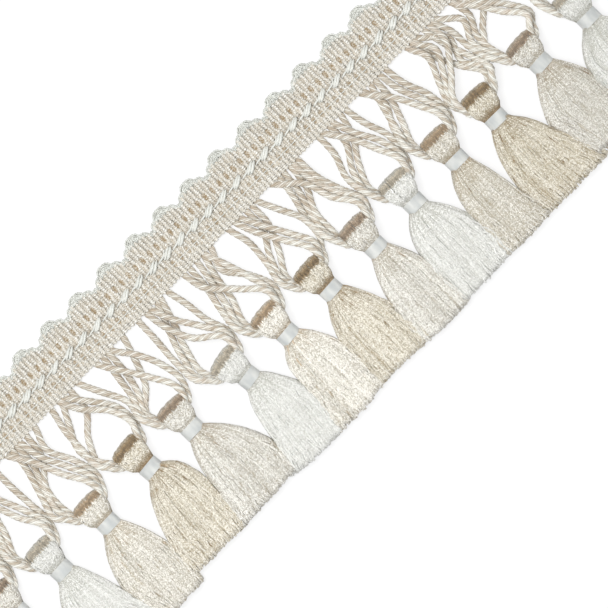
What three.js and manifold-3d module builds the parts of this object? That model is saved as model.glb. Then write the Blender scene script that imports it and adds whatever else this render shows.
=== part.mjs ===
// A length of tassel fringe trim, laid flat: a woven heading with a scalloped edge, and a row of
// tassels that hang from it on loops of twisted cord. X runs along the heading, Y across it towards
// the scallops, Z up from the table. Each tassel is a hank of yarn folded over its cord loops and
// bound at the neck.
import * as THREE from 'three';
import { mergeVertices } from 'three/addons/utils/BufferGeometryUtils.js';
import Module from 'manifold-3d';

const wasm = await Module();
wasm.setup();

const { lerp } = THREE.MathUtils;
const UP = new THREE.Vector3(0, 0, 1);

// Driving dimensions, in millimetres
const CLEARANCE = 0.3; // left between pieces that touch

const HEADING_WIDTH = 24.8; // lower edge to the valleys between scallops
const HEADING_THICKNESS = 2.4;
const SCALLOP_PITCH = 18.04;
const SCALLOP_COUNT = 22;
const HEADING_LENGTH = SCALLOP_PITCH * SCALLOP_COUNT;

const CORD_RADIUS = 1.65;
const CORD_SIDES = 5;
const CORD_STEPS = 4;
const CORD_HEIGHTS = { // of a cord's middle above the table, by how it crosses the others
  over: { edge: 3.5, upper: 5.9, lower: 6.7, inner: 8.7, outer: 2.2 },
  under: { edge: 1.9, upper: 2.1, lower: 2.1, inner: 2.2, outer: 8.7 },
};
const CUT_WIDTH = 60; // of the block that trims the cords of one tassel square at the heading
const CUT_DEPTH = 30;
const SADDLE_RADIUS = 2.6; // the cords of one tassel pressed together inside its head
const SADDLE_SIDES = 6;
const SADDLE_HALF_LENGTH = 10.6;
const SADDLE_ALONG = 12.2; // above the middle of the neck
const SADDLE_HEIGHT = 5.6;
const WAIST_ALONG = 18; // where the cords stand furthest out, beside the top of the head
const WAIST_INNER = 9.7;
const WAIST_OUTER = 13.9;
const FIRST_BEND = 0.28; // of the way down from the heading to the waist
const SECOND_BEND = 0.64;
const INNER_CROSSING = 0.6; // of its way across, what the innermost cord has gone by the second bend
const OUTER_CROSSING = 0.9;
const OUTER_SINKING = 0.6; // of the height between upper and lower cords, lost by the outermost there

const BINDING_LENGTH = 5.8;
const BINDING_WALL = 0.55;
const BINDING_SIDES = 8;
const SECTION_SIDES = 8;

// One scallop's outline: across from its middle, and how far it rises above the valley
const SCALLOP = [
  { across: -9.02, rise: 0 },
  { across: -7.5, rise: 0.3 },
  { across: -5.4, rise: 2.6 },
  { across: -3.2, rise: 3.4 },
  { across: -1.5, rise: 4.7 },
  { across: 1.5, rise: 4.7 },
  { across: 3.2, rise: 3.4 },
  { across: 5.4, rise: 2.6 },
  { across: 7.5, rise: 0.3 },
];

// Sections of one head, from the fold at its top to the neck. along is measured from the middle of
// the neck, half is the half width, and turn is how much of the head's lean it takes.
const HEAD = [
  { along: 17.3, half: 5.6, bottom: 2.6, top: 8.6, turn: 1 },
  { along: 16.2, half: 7.0, bottom: 1.0, top: 10.2, turn: 1 },
  { along: 13.0, half: 7.5, bottom: 0, top: 11.2, turn: 1 },
  { along: 8.5, half: 7.9, bottom: 0, top: 11.2, turn: 1 },
  { along: 5.0, half: 6.6, bottom: 0.6, top: 10.2, turn: 1 },
  { along: 3.1, half: 4.6, bottom: 1.2, top: 8.8, turn: 0.4 },
];
const NECK = HEAD[HEAD.length - 1];

// Sections of one skirt, from the neck down. depth is measured from the middle of the neck.
const SKIRT = [
  { depth: 4.3, bottom: 0.9, top: 9.0, turn: 0.3 },
  { depth: 8, bottom: 0.4, top: 9.2, turn: 0 },
  { depth: 13, bottom: 0, top: 9.0, turn: 0 },
  { depth: 19, bottom: 0, top: 8.6, turn: 0 },
  { depth: 28, bottom: 0, top: 7.6, turn: 0 },
];
const CUT_END_HEIGHT = 6.4;
const SKIRT_NECK_HALF = 5.5; // where the skirt comes out from under the binding
const SKIRT_NECK_DEPTH = 3;
const FLARE_DEPTH = 14; // the depth over which a skirt's flaring slows to about a third

// The tassels in order. at is the neck's distance from the left end of the heading, drop its
// distance below the lower edge, lean the turn of the head to the left in degrees, and cut the
// depth of the cut end below the neck. On its right a skirt meets the next one at the depth meets,
// reach from its own neck, and the two part again at the cut end, spread from its neck.
const TASSELS = [
  { at: 18.2, drop: 53.2, lean: 1, cut: 46.8, meets: 12.0, reach: 14.2, spread: 13.3 },
  { at: 45.4, drop: 53.3, lean: 3, cut: 47.0, meets: 22.3, reach: 12.1, spread: 18.0 },
  { at: 74.2, drop: 53.6, lean: 1, cut: 48.0, meets: 23.9, reach: 13.4, spread: 11.4 },
  { at: 105.7, drop: 49.5, lean: 7, cut: 47.8, meets: 18.2, reach: 14.0, spread: 10.0 },
  { at: 131.2, drop: 50.6, lean: 0, cut: 46.6, meets: 23.4, reach: 21.0, spread: 18.1 },
  { at: 165.2, drop: 52.8, lean: 11, cut: 46.2, meets: 14.2, reach: 13.8, spread: 10.9 },
  { at: 191.1, drop: 51.7, lean: 5, cut: 47.1, meets: 15.4, reach: 14.2, spread: 14.0 },
  { at: 218.6, drop: 51.5, lean: 4, cut: 45.8, meets: 18.6, reach: 14.5, spread: 13.3 },
  { at: 247.0, drop: 52.7, lean: 2, cut: 46.6, meets: 13.4, reach: 10.6, spread: 10.4 },
  { at: 272.3, drop: 51.2, lean: -1, cut: 46.7, meets: 17.2, reach: 13.6, spread: 13.3 },
  { at: 299.1, drop: 51.0, lean: -1, cut: 47.1, meets: 23.5, reach: 10.6, spread: 13.3 },
  { at: 326.6, drop: 50.9, lean: -2.5, cut: 46.6, meets: 15.8, reach: 12.7, spread: 22.0 },
  { at: 355.7, drop: 47.6, lean: 3, cut: 46.8, meets: 13.8, reach: 13.7, spread: 14.8 },
  { at: 386.3, drop: 48.8, lean: -1, cut: 46.8, meets: 22.0, reach: 14.0, spread: 15.0 },
];
const FIRST_LEFT = { meets: 22.0, reach: 13.8, cut: 46.8, spread: 15.0 };

// The cords of each tassel, in the same order: where those that enter the left and the right side
// of its head leave the heading, measured from the neck's own line. over is the side whose cords
// cross on top, and swing is how far the middle one of those bows to the right.
const CORDS = [
  { left: [-13, -3.5, 0.5], right: [-7.5, -3, 6.5], over: 1, swing: 0 },
  { left: [-13.5, -3, 0.5], right: [-5, -0.5, 10.5], over: 1, swing: 0 },
  { left: [-7.5, -4, 0.5], right: [-10, -3.5, 6], over: 1, swing: 0 },
  { left: [-14, -8.5, -1.5], right: [-7, -4], over: 1, swing: 0 },
  { left: [-21.5, -6.5, -3, 6], right: [-9.5, -1.5], over: 1, swing: 0 },
  { left: [-17, -5, -1.5], right: [-11.5, -7.5, 2], over: 1, swing: -3.5 },
  { left: [-10.5, -6.5, -3], right: [-14.5, -1.5, 2.5], over: 1, swing: 0 },
  { left: [-12.5, -1.5, 2.5], right: [-9, -4, 6], over: 1, swing: 0 },
  { left: [-9, -5.5, -2], right: [-12, 0, 3.5], over: 1, swing: 0 },
  { left: [-8.5, -1.5, 4.5], right: [-5.5, -1.5, 9], over: 1, swing: 0 },
  { left: [-8, -4.5, -1], right: [-8, 2.5, 6], over: 1, swing: 0 },
  { left: [-7.5, -4, 7], right: [-2, 1.5, 5], over: -1, swing: 3.5 },
  { left: [-18.5, -15, -6.5, -0.5], right: [-8, -3.5], over: 1, swing: 0 },
  { left: [-13, -9.5, -0.5], right: [-5, -1.5, 7], over: 1, swing: 0 },
];

// Colours of the yarns, in the order in which the tassels repeat
const YARNS = [
  { name: 'ecru', color: 0xd6ccbf },
  { name: 'white', color: 0xe6e6e2 },
  { name: 'cream', color: 0xdccfbd },
  { name: 'tan', color: 0xd6c4a6 },
];

const yarnMaterials = YARNS.map(({ color }) =>
  new THREE.MeshStandardMaterial({ color, roughness: 0.5, metalness: 0 }));
const headingMaterial = new THREE.MeshStandardMaterial({ color: 0xdad3c6, roughness: 0.8, metalness: 0 });
const cordMaterial = new THREE.MeshStandardMaterial({ color: 0xd2c6b5, roughness: 0.7, metalness: 0 });
const bindingMaterial = new THREE.MeshStandardMaterial({ color: 0xdce3e8, roughness: 0.35, metalness: 0 });

function named(name, geometry, material) {
  const mesh = new THREE.Mesh(geometry, material);
  mesh.name = name;
  return mesh;
}

// A geometry with its shared corners merged, as the boolean library needs it
function merged(geometry) {
  const bare = geometry.clone();
  bare.deleteAttribute('normal');
  bare.deleteAttribute('uv');
  return mergeVertices(bare, 1e-4);
}

function toSolid(geometry) {
  const { index, attributes } = merged(geometry);
  return new wasm.Manifold(new wasm.Mesh({
    numProp: 3,
    vertProperties: new Float32Array(attributes.position.array),
    triVerts: new Uint32Array(index.array),
  }));
}

function toGeometry(solid) {
  const mesh = solid.getMesh();
  const geometry = new THREE.BufferGeometry();
  geometry.setAttribute('position', new THREE.BufferAttribute(mesh.vertProperties, 3));
  geometry.setIndex(new THREE.BufferAttribute(mesh.triVerts, 1));
  geometry.computeVertexNormals();
  return geometry;
}

// ---- The heading: one flat woven band, its lower edge at Y 0 ----

function headingGeometry() {
  const outline = [new THREE.Vector2(0, 0), new THREE.Vector2(HEADING_LENGTH, 0)];
  for (let i = SCALLOP_COUNT - 1; i >= 0; i--) {
    const middle = (i + 0.5) * SCALLOP_PITCH;
    for (const { across, rise } of SCALLOP) {
      outline.push(new THREE.Vector2(middle - across, HEADING_WIDTH + rise));
    }
  }
  outline.push(new THREE.Vector2(0, HEADING_WIDTH));
  return new THREE.ExtrudeGeometry(new THREE.Shape(outline), {
    depth: HEADING_THICKNESS,
    bevelEnabled: false,
  });
}

// ---- One tassel's hank of yarn, round its own neck, with the way through its head for the cords ----

// Turns a geometry to the left about the middle of the neck
function turned(geometry, degrees) {
  return geometry.rotateZ(THREE.MathUtils.degToRad(degrees));
}

// A bar along X, through the head
function saddleGeometry(radius, halfLength, lean) {
  const bar = new THREE.CylinderGeometry(radius, radius, 2 * halfLength, SADDLE_SIDES);
  bar.rotateZ(Math.PI / 2);
  bar.translate(0, SADDLE_ALONG, SADDLE_HEIGHT);
  return turned(bar, lean);
}

// The left side of a skirt is the right side of the one before it, seen from its own neck
function leftSide(index) {
  const before = TASSELS[index - 1];
  if (!before) return FIRST_LEFT;
  const apart = TASSELS[index].at - before.at;
  const lower = before.drop - TASSELS[index].drop;
  return {
    meets: before.meets + lower,
    reach: apart - before.reach,
    cut: before.cut + lower,
    spread: apart - before.spread,
  };
}

// Half the width of a skirt on one side, at a depth below the middle of its neck
function skirtHalf(side, depth) {
  const flare = (at) => 1 - Math.exp((SKIRT_NECK_DEPTH - at) / FLARE_DEPTH);
  const half = depth < side.meets
    ? lerp(SKIRT_NECK_HALF, side.reach, flare(depth) / flare(side.meets))
    : lerp(side.reach, side.spread, (depth - side.meets) / (side.cut - side.meets));
  return half - CLEARANCE / 2;
}

function hankGeometry(index) {
  const { lean, cut } = TASSELS[index];
  const left = leftSide(index);
  const right = TASSELS[index];
  const sections = HEAD.map((row) => ({ ...row, left: row.half, right: row.half }));
  sections.push({ ...sections[sections.length - 1], along: -NECK.along });
  for (const row of [...SKIRT, { depth: cut, bottom: 0, top: CUT_END_HEIGHT, turn: 0 }]) {
    const halves = { left: skirtHalf(left, row.depth), right: skirtHalf(right, row.depth) };
    sections.push({ ...row, ...halves, along: -row.depth });
  }

  const rows = sections.length - 1;
  const firstCorner = Math.PI / SECTION_SIDES;
  const hank = merged(new THREE.CylinderGeometry(1, 1, 1, SECTION_SIDES, rows, false, firstCorner));
  const corners = hank.attributes.position;
  const flatness = Math.cos(firstCorner);
  for (let i = 0; i < corners.count; i++) {
    const section = sections[Math.round((0.5 - corners.getY(i)) * rows)];
    const across = corners.getX(i) / flatness;
    const upward = corners.getZ(i) / flatness;
    const half = across < 0 ? section.left : section.right;
    const middle = (section.top + section.bottom) / 2;
    const halfHeight = (section.top - section.bottom) / 2;
    const corner = new THREE.Vector3(across * half, section.along, middle + upward * halfHeight);
    corner.applyAxisAngle(UP, THREE.MathUtils.degToRad(lean * section.turn));
    corners.setXYZ(i, corner.x, corner.y, corner.z);
  }
  const clearRadius = SADDLE_RADIUS + CLEARANCE / Math.cos(Math.PI / SADDLE_SIDES);
  const wayThrough = saddleGeometry(clearRadius, 2 * SADDLE_HALF_LENGTH, lean);
  return toGeometry(toSolid(hank).subtract(toSolid(wayThrough)));
}

// ---- The binding: a flat ring of thread wound round the neck ----

function ringOutline(halfWidth, halfHeight) {
  const flatness = Math.cos(Math.PI / BINDING_SIDES);
  const points = [];
  for (let i = 0; i < BINDING_SIDES; i++) {
    const angle = ((i + 0.5) / BINDING_SIDES) * 2 * Math.PI;
    points.push(new THREE.Vector2(halfWidth * Math.cos(angle), halfHeight * Math.sin(angle)));
  }
  return points.map((point) => point.divideScalar(flatness));
}

function bindingGeometry(lean) {
  const innerHalf = NECK.half + CLEARANCE;
  const innerHeight = (NECK.top - NECK.bottom) / 2 + CLEARANCE;
  const ring = new THREE.Shape(ringOutline(innerHalf + BINDING_WALL, innerHeight + BINDING_WALL));
  ring.holes.push(new THREE.Path(ringOutline(innerHalf, innerHeight).reverse()));
  const binding = new THREE.ExtrudeGeometry(ring, { depth: BINDING_LENGTH, bevelEnabled: false });
  binding.translate(0, 0, -BINDING_LENGTH / 2);
  binding.rotateX(Math.PI / 2);
  binding.translate(0, 0, (NECK.top + NECK.bottom) / 2);
  return turned(binding, lean * NECK.turn);
}

// ---- The cord loops of one tassel ----

// A point of a tassel, across and along from the middle of its neck, turned with its head
function onHead(tassel, across, along, height) {
  return new THREE.Vector3(across, along, height)
    .applyAxisAngle(UP, THREE.MathUtils.degToRad(tassel.lean))
    .add(new THREE.Vector3(tassel.at, -tassel.drop, 0));
}

// How far from its head the cords of a tassel may stand out on one side
function roomBeside(index, side) {
  const neighbour = TASSELS[index + side];
  if (!neighbour) return WAIST_OUTER;
  const here = onHead(TASSELS[index], 0, WAIST_ALONG, 0).x;
  return Math.min(WAIST_OUTER, Math.abs(onHead(neighbour, 0, WAIST_ALONG, 0).x - here) / 2);
}

// One cord from the heading to one side of the head: its middle line. side is -1 for left.
function cordLine(index, side, order) {
  const tassel = TASSELS[index];
  const { left, right, over, swing } = CORDS[index];
  const starts = side < 0 ? left : right;
  const onTop = over === side;
  const heights = onTop ? CORD_HEIGHTS.over : CORD_HEIGHTS.under;

  // 0 for the cord nearest to the head, 1 for the outermost
  const outward = (side < 0 ? starts.length - 1 - order : order) / (starts.length - 1);
  const reach = roomBeside(index, side) - CLEARANCE / 2 - CORD_RADIUS;
  const across = side * lerp(WAIST_INNER, Math.max(reach, WAIST_INNER), outward);
  const waist = onHead(tassel, across, WAIST_ALONG, lerp(heights.inner, heights.outer, outward));
  const end = onHead(tassel, side * WAIST_INNER, SADDLE_ALONG, SADDLE_HEIGHT);

  const startX = tassel.at + starts[order];
  const firstX = lerp(startX, waist.x, FIRST_BEND) + (onTop && order === 1 ? swing : 0);
  const secondX = lerp(startX, waist.x, lerp(INNER_CROSSING, OUTER_CROSSING, outward));
  const lower = lerp(heights.lower, CORD_HEIGHTS.under.lower, outward * OUTER_SINKING);
  return new THREE.CatmullRomCurve3([
    new THREE.Vector3(startX, CORD_RADIUS, heights.edge),
    new THREE.Vector3(startX, -CLEARANCE, heights.edge),
    new THREE.Vector3(firstX, waist.y * FIRST_BEND, heights.upper),
    new THREE.Vector3(secondX, waist.y * SECOND_BEND, lower),
    waist,
    end,
  ]);
}

function cordSection() {
  const corners = [];
  for (let i = 0; i < CORD_SIDES; i++) {
    const angle = (i / CORD_SIDES) * 2 * Math.PI;
    corners.push(new THREE.Vector2(Math.cos(angle), Math.sin(angle)).multiplyScalar(CORD_RADIUS));
  }
  return new THREE.Shape(corners);
}

// All the cords of a tassel and the saddle that they form in its head, cut square at the heading
function cordLoopsGeometry(index) {
  const tassel = TASSELS[index];
  const saddle = saddleGeometry(SADDLE_RADIUS, SADDLE_HALF_LENGTH, tassel.lean);
  saddle.translate(tassel.at, -tassel.drop, 0);
  let loops = toSolid(saddle);
  for (const [side, starts] of [[-1, CORDS[index].left], [1, CORDS[index].right]]) {
    for (let order = 0; order < starts.length; order++) {
      const cord = new THREE.ExtrudeGeometry(cordSection(), {
        extrudePath: cordLine(index, side, order),
        steps: CORD_STEPS,
        bevelEnabled: false,
      });
      loops = loops.add(toSolid(cord));
    }
  }
  const beyondEdge = new THREE.BoxGeometry(CUT_WIDTH, CUT_DEPTH, CUT_DEPTH);
  beyondEdge.translate(tassel.at, CUT_DEPTH / 2 - CLEARANCE, 0);
  return toGeometry(loops.subtract(toSolid(beyondEdge)));
}

// ---- The whole trim ----

const trim = new THREE.Group();
trim.add(named('heading', headingGeometry(), headingMaterial));

TASSELS.forEach((tassel, index) => {
  const number = String(index + 1).padStart(2, '0');
  const yarn = yarnMaterials[index % YARNS.length];
  const placed = new THREE.Group();
  placed.position.set(tassel.at, -tassel.drop, 0);
  placed.add(named(`tassel_${number}`, hankGeometry(index), yarn));
  placed.add(named(`neck_binding_${number}`, bindingGeometry(tassel.lean), bindingMaterial));
  trim.add(placed);
  trim.add(named(`cord_loops_${number}`, cordLoopsGeometry(index), cordMaterial));
});

// The origin is on the table, under the middle of the whole trim
const extent = new THREE.Box3().setFromObject(trim);
const middle = extent.getCenter(new THREE.Vector3());
trim.position.set(-middle.x, -middle.y, -extent.min.z);

export default trim;
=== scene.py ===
"""A length of tassel fringe trim, laid flat with its face up.

X runs along the heading, Y across it towards the scallops, Z up from the table. Sizes are in
millimetres, and become metres where a mesh is made. The trim is built as it is put together: cord
loops, a hank of yarn folded over each set of them, a binding at its neck, and the woven heading.
"""
import math

import bmesh
import bpy
import numpy as np
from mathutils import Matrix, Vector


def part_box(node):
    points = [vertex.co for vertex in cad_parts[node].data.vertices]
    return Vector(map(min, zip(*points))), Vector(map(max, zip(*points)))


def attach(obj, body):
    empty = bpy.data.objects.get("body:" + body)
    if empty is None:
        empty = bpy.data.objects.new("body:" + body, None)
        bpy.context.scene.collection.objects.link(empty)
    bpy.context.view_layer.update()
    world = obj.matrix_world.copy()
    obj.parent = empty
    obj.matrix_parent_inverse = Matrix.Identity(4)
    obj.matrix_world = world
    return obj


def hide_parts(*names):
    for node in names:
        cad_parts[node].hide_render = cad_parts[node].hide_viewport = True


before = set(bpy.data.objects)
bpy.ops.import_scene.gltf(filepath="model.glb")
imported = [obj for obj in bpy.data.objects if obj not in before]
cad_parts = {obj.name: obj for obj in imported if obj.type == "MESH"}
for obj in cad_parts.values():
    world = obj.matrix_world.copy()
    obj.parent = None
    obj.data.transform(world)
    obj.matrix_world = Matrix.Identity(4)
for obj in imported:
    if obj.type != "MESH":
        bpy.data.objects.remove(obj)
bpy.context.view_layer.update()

# ---- Camera, light and table ----
# The trim is seen from straight above, turned so that the heading climbs from lower left to upper
# right. It lies on a plain white table, under one broad soft light in an evenly lit room.

MM = 0.001
heading_low, heading_high = (np.array(corner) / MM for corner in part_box("heading"))
VIEW_ALONG = 205.7  # the middle of the view, from the left end of the heading
VIEW_BELOW = 46.9  # and below its lower edge
VIEW_WIDTH = 271.8
VIEW_TURN = math.radians(-45.6)
CAMERA_HEIGHT = 1900.0
LAMP_SIZE = 0.6  # of the lamp and the table, sizes and places are in metres
LAMP_POWER = 14.0
LAMP_PLACE = (-0.2, 0.25, 1.3)
LAMP_TILT = (math.radians(-11), math.radians(-9), 0)
ROOM_COLOUR = (0.97, 0.985, 1.0, 1)
ROOM_STRENGTH = 0.69
TABLE_SIZE = 3.0
TABLE_COLOUR = (0.9, 0.9, 0.9, 1)
TABLE_GLOW = 0.75  # the share of the table's light that is its own, which keeps shadows faint

camera = bpy.data.objects.new("camera", bpy.data.cameras.new("camera"))
camera.location = (
    (heading_low[0] + VIEW_ALONG) * MM,
    (heading_low[1] - VIEW_BELOW) * MM,
    CAMERA_HEIGHT * MM,
)
camera.rotation_euler = (0, 0, VIEW_TURN)
camera.data.angle = 2 * math.atan(VIEW_WIDTH / 2 / CAMERA_HEIGHT)
camera.data.clip_end = 20
bpy.context.collection.objects.link(camera)
bpy.context.scene.camera = camera
bpy.context.scene.view_settings.view_transform = "Standard"

lamp = bpy.data.objects.new("soft_light", bpy.data.lights.new("soft_light", "AREA"))
lamp.data.size = LAMP_SIZE
lamp.data.energy = LAMP_POWER
lamp.location = LAMP_PLACE
lamp.rotation_euler = LAMP_TILT
bpy.context.collection.objects.link(lamp)

room = bpy.data.worlds.new("room")
room.use_nodes = True
room.node_tree.nodes["Background"].inputs["Color"].default_value = ROOM_COLOUR
room.node_tree.nodes["Background"].inputs["Strength"].default_value = ROOM_STRENGTH
bpy.context.scene.world = room


class Field:
    """A shader socket that can be added, subtracted and multiplied as a number can."""

    def __init__(self, tree, socket=None):
        self.tree = tree
        self.socket = socket

    def node(self, kind, settings, sockets, output=0):
        made = self.tree.nodes.new(kind)
        for key, value in settings.items():
            setattr(made, key, value)
        for key, value in sockets.items():
            if isinstance(value, Field):
                self.tree.links.new(value.socket, made.inputs[key])
            else:
                made.inputs[key].default_value = value
        return Field(self.tree, made.outputs[output] if made.outputs else None)

    def worked(self, operation, *values):
        return self.node("ShaderNodeMath", {"operation": operation}, dict(enumerate(values)))

    def __add__(self, other):
        return self.worked("ADD", self, other)

    def __sub__(self, other):
        return self.worked("SUBTRACT", self, other)

    def __rsub__(self, other):
        return self.worked("SUBTRACT", other, self)

    def __mul__(self, other):
        return self.worked("MULTIPLY", self, other)

    __radd__ = __add__
    __rmul__ = __mul__


def new_material(name):
    material = bpy.data.materials.new(name)
    material.use_nodes = True
    material.node_tree.nodes.clear()
    return material, Field(material.node_tree)


def new_mesh(bm, name):
    mesh = bpy.data.meshes.new(name)
    bm.to_mesh(mesh)
    bm.free()
    return mesh


table_finish, paint = new_material("table_white")
board = paint.node("ShaderNodeBsdfDiffuse", {}, {"Color": TABLE_COLOUR})
glow = paint.node("ShaderNodeEmission", {}, {"Color": (1, 1, 1, 1), "Strength": 1.0})
lit_board = paint.node("ShaderNodeMixShader", {}, {0: TABLE_GLOW, 1: board, 2: glow})
paint.node("ShaderNodeOutputMaterial", {}, {"Surface": lit_board})

bm = bmesh.new()
bmesh.ops.create_grid(bm, x_segments=1, y_segments=1, size=TABLE_SIZE / 2)
table_mesh = new_mesh(bm, "table")
table_mesh.materials.append(table_finish)
table = bpy.data.objects.new("table", table_mesh)
bpy.context.collection.objects.link(table)

# ---- Cord loops ----
# About six lengths of four-ply twisted cord carry each tassel. They start under the heading's lower
# edge, cross on their way down, and curl into the two sides of the tassel's head, between the front
# and the back of its yarn. Two plies are ivory and two beige, of several finer yarns each.

# The turn of each tassel's head to the left, in degrees. A few heads are also tied to the right, or
# below 0 to the left, of the middle of the neck's box.
LEANS = [1, 3, 1, 7, 0, 11, 5, 4, 2, -1, -1, -2.5, 3, -1]
TASSEL_COUNT = len(LEANS)
HEAD_SHIFTS = {2: 0.5, 8: -0.8, 11: -1.9, 12: 0.5, 13: -0.8}

# The cords of each tassel, those that enter the left side of its head and then those of the right,
# in the order in which they leave the heading. Each has four distances: where it leaves the heading
# and its two bends, all to the right of the neck, and then how far out it stands beside the head.
CORDS = [
    (
        [(-13, -12.8, -12.5, 12.1), (-3.5, -5.7, -9.3, 10.9), (0.5, -2.4, -5.8, 9.7)],
        [(-7.5, -2.8, 2.6, 9.7), (-3, 0.7, 7, 10.6), (6.5, 7.8, 10.7, 11.5)],
    ),
    (
        [(-13.5, -13.2, -12.5, 11.5), (-3, -5.4, -9.4, 10.6), (0.5, -2.6, -6.2, 9.7)],
        [(-5, -1.2, 3.2, 9.7), (-0.5, 2.4, 7.3, 10.9), (10.5, 10.7, 11.1, 12.1)],
    ),
    (
        [(-6.6, -7.8, -11.8, 13.3), (-3.6, -4.3, -9.1, 10.5), (2.5, 1.3, -8, 8.6)],
        [(-9.2, -3.4, 1.9, 8.6), (-1.3, 0.3, 6.2, 10.6), (7.7, 4.8, 10, 12.5)],
    ),
    (
        [(-12.9, -14.9, -15.9, 12.9), (-7.2, -11.7, -17.1, 10.8), (-0.8, -1.4, -11, 12.4)],
        [(-7.2, -3.2, 6.2, 10.7), (-4.2, 1.7, 8.8, 11.7)],
    ),
    (
        [
            (-21, -17.2, -11.8, 12.6), (-5.5, -6.7, -8.7, 11.4),
            (-2.3, -2.8, -5.3, 10), (7.1, 4.4, -0.4, 9.6),
        ],
        [(-9, -3.9, 3.2, 8.6), (-0.1, 5.9, 10.9, 11.9)],
    ),
    (
        [(-16.8, -17.2, -18.2, 13.2), (-5.4, -9.5, -14.3, 12.2), (-2.9, -5.9, -10.9, 9.5)],
        [(-11.6, -10.2, -5.5, 9.3), (-8.7, -5.6, 1.5, 10.9), (2, 3.8, 5.2, 12)],
    ),
    (
        [(-9.8, -10.5, -13.2, 12.3), (-5.5, -7.1, -9.8, 10.9), (-1.4, -4, -6.2, 8.6)],
        [(-13.4, -11.7, -1.3, 9.3), (-0.3, 2.7, 6.3, 9.9), (3.1, -0.3, 7.1, 12.4)],
    ),
    (
        [(-12.5, -10.5, -11.4, 12), (-1.2, -1.6, -8.7, 10.2), (2.1, 1.7, -3.5, 8.6)],
        [(-8.1, -5, 1.4, 8.6), (-4.9, -0.9, 5.4, 11.2), (5.6, 9.3, 14.3, 13.8)],
    ),
    (
        [(-8.8, -10.3, -13.4, 11.8), (-5.8, -6.9, -10.7, 10.7), (-1.7, -2.8, -8.6, 8.6)],
        [(-11.9, -2.7, 1.2, 8.6), (0, 0.7, 4.5, 11.2), (2.9, 3, 6.5, 11.2)],
    ),
    (
        [(-8.7, -9.1, -13, 11.7), (-2, -1.9, -9, 11.2), (5, 2.5, -5.1, 9.5)],
        [(-5.4, 0.2, 5.4, 9.1), (0.6, 3.6, 9.6, 10.6), (8.6, 9.9, 13.6, 11.8)],
    ),
    (
        [(-6.6, -4, -9.5, 11.7), (-2.9, -5.4, -8.4, 10.6), (0.2, -0.5, -4.4, 8.9)],
        [(-7.5, -0.8, 5.3, 9), (3.5, 4.5, 8.9, 11.1), (7.1, 8, 12.3, 12.3)],
    ),
    (
        [(-6.7, -3.6, -8, 12.3), (-3.5, 1.3, -4.7, 11.4), (7.4, 7.3, -0.8, 10.5)],
        [(-2, -1.7, 3.5, 8.6), (0.1, 9.2, 5.9, 11.6), (4.2, 5.8, 9.7, 11)],
    ),
    (
        [
            (-19.8, -17, -16.3, 12.3), (-17.2, -9.7, -14.1, 9.7),
            (-7.4, -6, -10.6, 8.6), (-0.9, 1.7, -7.5, 12.3),
        ],
        [(-7.3, -1.8, 4.8, 12.2), (-4, 0.2, 9.3, 14.5)],
    ),
    (
        [(-13, -12.7, -11.9, 12.1), (-9.5, -9.8, -10.3, 10.9), (-0.5, -3, -5.8, 9.7)],
        [(-5, -0.8, 4, 9.7), (-1.5, 2.1, 8, 10.9), (7, 8.5, 11.9, 12.1)],
    ),
]
LEFT_ON_TOP = {11}  # where the left side's cords cross over the right side's, and not under them

# Heights of a cord's middle above the table, by how it crosses the others
CORD_HEIGHTS = {
    "over": {"edge": 1.95, "upper": 5.6, "lower": 6.6, "inner": 8.2, "outer": 2.6},
    "under": {"edge": 1.75, "upper": 2.1, "lower": 2.1, "inner": 2.6, "outer": 8.2},
}
HIDDEN_END = {"above": 1.6, "height": 1.3}  # under the heading
EXIT_BELOW = 0.7  # how far below the heading's edge a cord comes out
BENDS = (0.28, 0.64)  # where a cord bends, of the way from the heading to the waist
WAIST_ALONG = 18.0  # above the neck, where the cords stand furthest out beside the head
CURL_INWARD = 1.3  # how far inside its waist the outermost cord starts to curl in
CURL_LIMITS = (8.4, 11.0)  # between which that place lies, across the head
HEAD_MIDDLE_HEIGHT = 5.6
PLIES = 4
PLY_RADIUS = 0.82
PLY_OFFSET = 0.86
PLY_SIDES = 6
PLY_TINTS = (0.0, 0.65, 0.1, 0.55)
CORD_TURN = 9.6  # length of one full turn of the plies
CORD_RINGS = 48
FLATTENED = 0.6  # of its height, where the heading presses on a cord
FLATTENED_RINGS = 4.0  # over which this wears off
# Painted shade along each cord, by ring from the heading: deepest just below it, none near the head
CORD_SHADE = {"ring": (0, 5, 14, 22, 30), "shade": (0.8, 1.0, 0.9, 0.35, 0.0)}

necks = []
heads = []
for index in range(TASSEL_COUNT):
    low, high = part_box(f"neck_binding_{index + 1:02d}")
    necks.append(np.array([(low[0] + high[0]) / 2, (low[1] + high[1]) / 2]) / MM)
    heads.append(necks[index] + (HEAD_SHIFTS.get(index, 0.0), 0.0))


def mix(first, second, share):
    return first + (second - first) * share


def turned(middle, across, along, angle):
    """X and Y of places across and along from a middle, turned to the left about it."""
    x = middle[0] + across * np.cos(angle) - along * np.sin(angle)
    y = middle[1] + across * np.sin(angle) + along * np.cos(angle)
    return x, y


def on_head(index, across, along, height):
    """A point of a tassel's head, across and along from where it is tied."""
    return np.array([*turned(heads[index], across, along, math.radians(LEANS[index])), height])


def eased(x, knots, values):
    """Values on a smooth curve through those given at the knots."""
    knots = np.asarray(knots, float)
    values = np.asarray(values, float)
    slopes = np.gradient(values, knots)
    span = np.clip(np.searchsorted(knots, x, side="right") - 1, 0, len(knots) - 2)
    width = knots[span + 1] - knots[span]
    t = np.clip((x - knots[span]) / width, 0, 1)
    start = (1 + 2 * t) * (1 - t) ** 2 * values[span] + t * (1 - t) ** 2 * width * slopes[span]
    end = t * t * (3 - 2 * t) * values[span + 1] - t * t * (1 - t) * width * slopes[span + 1]
    return start + end


def lengths_along(paths):
    """How far each ring of each path lies from the path's start."""
    steps = np.linalg.norm(np.diff(paths, axis=1), axis=2)
    return np.pad(np.cumsum(steps, axis=1), ((0, 0), (1, 0)))


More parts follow.
